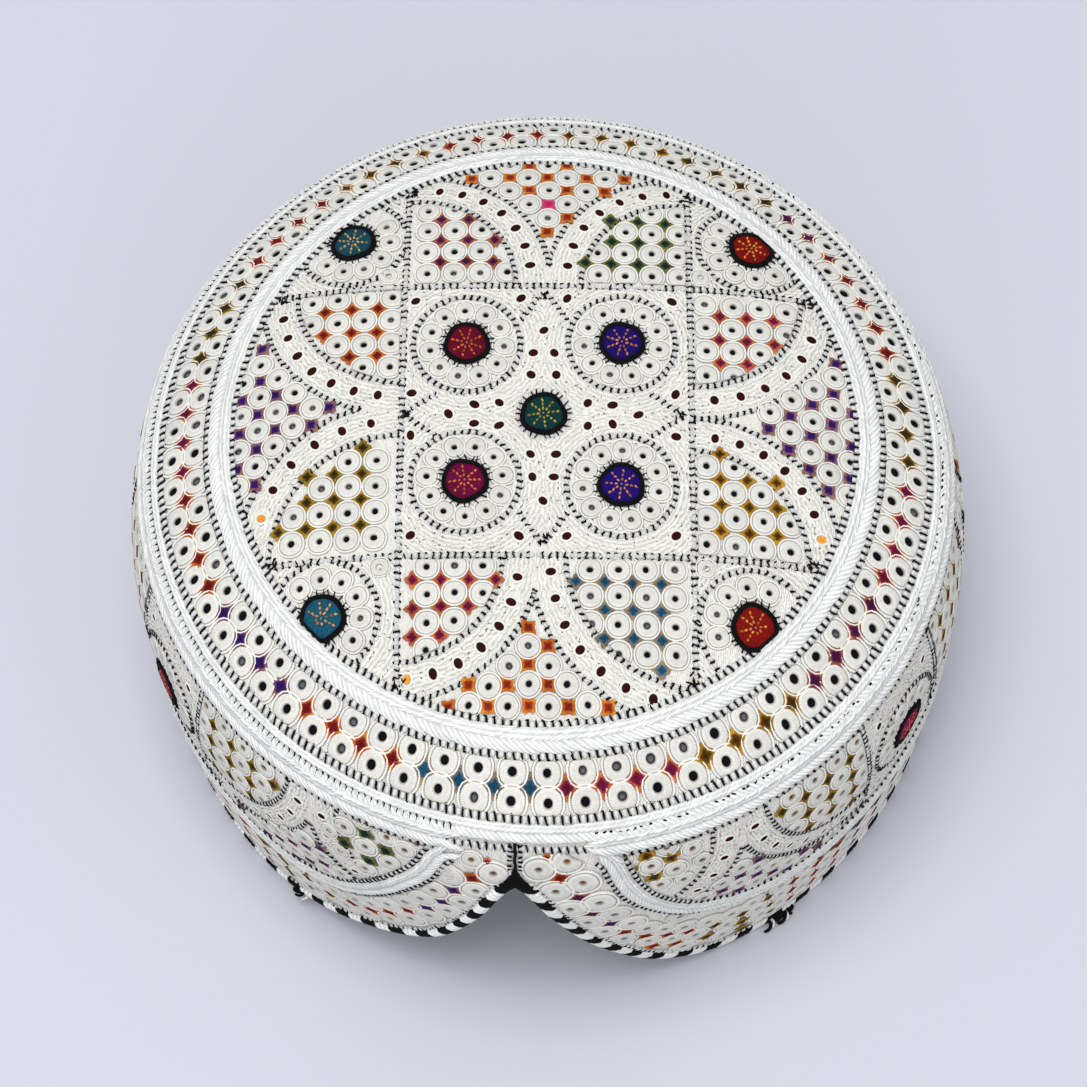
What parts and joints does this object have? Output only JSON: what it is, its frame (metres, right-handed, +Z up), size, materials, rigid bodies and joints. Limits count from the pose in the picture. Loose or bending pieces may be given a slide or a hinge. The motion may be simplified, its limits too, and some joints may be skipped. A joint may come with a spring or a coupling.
{
  "type": "sindhi cap",
  "caption": "Stiff round embroidered cap with a domed crown, a bulging side band, round felt patches, white braids and an arched notch at the front of the hem.",
  "frame": {"origin": "on the surface that the cap stands on, under the middle of the cap", "axes": "+Z up from the hem to the crown, -Y towards the arched notch at the front, +X to the right as seen from the front"},
  "size_m": [0.1923, 0.1957, 0.1],
  "materials": {
    "crown_cloth": "off-white cotton embroidery, dull thread sheen",
    "band_cloth": "off-white cotton embroidery, dull thread sheen",
    "edging_cord": "whip-stitched cord in black and white thread",
    "white_braid": "white herringbone braid, soft thread sheen",
    "black_thread": "matt black cotton thread",
    "felt_teal": "teal felt with small yellow stitches and a black edge",
    "felt_crimson": "crimson felt with small yellow stitches and a black edge",
    "felt_indigo": "indigo felt with small yellow stitches and a black edge",
    "felt_blue": "blue-green felt with small yellow stitches and a black edge",
    "felt_red": "red felt with small yellow stitches and a black edge"
  },
  "bodies": {
    "root": {"crown": "crown_cloth", "side_band": "band_cloth", "hem_edging": "edging_cord", "crown_ring_braid": "white_braid", "crown_edge_braid": "white_braid", "band_top_braid": "white_braid", "band_arch_braid": "white_braid", "front_seam": "black_thread", "crown_medallion_centre": "felt_teal", "crown_medallion_inner_1": "felt_crimson", "crown_medallion_inner_2": "felt_indigo", "crown_medallion_inner_3": "felt_crimson", "crown_medallion_inner_4": "felt_indigo", "crown_medallion_outer_1": "felt_blue", "crown_medallion_outer_2": "felt_red", "crown_medallion_outer_3": "felt_blue", "crown_medallion_outer_4": "felt_red", "band_medallion_1": "felt_crimson", "band_medallion_2": "felt_crimson", "band_medallion_3": "felt_crimson", "band_medallion_4": "felt_crimson", "band_medallion_5": "felt_crimson"}
  },
  "joints": []
}
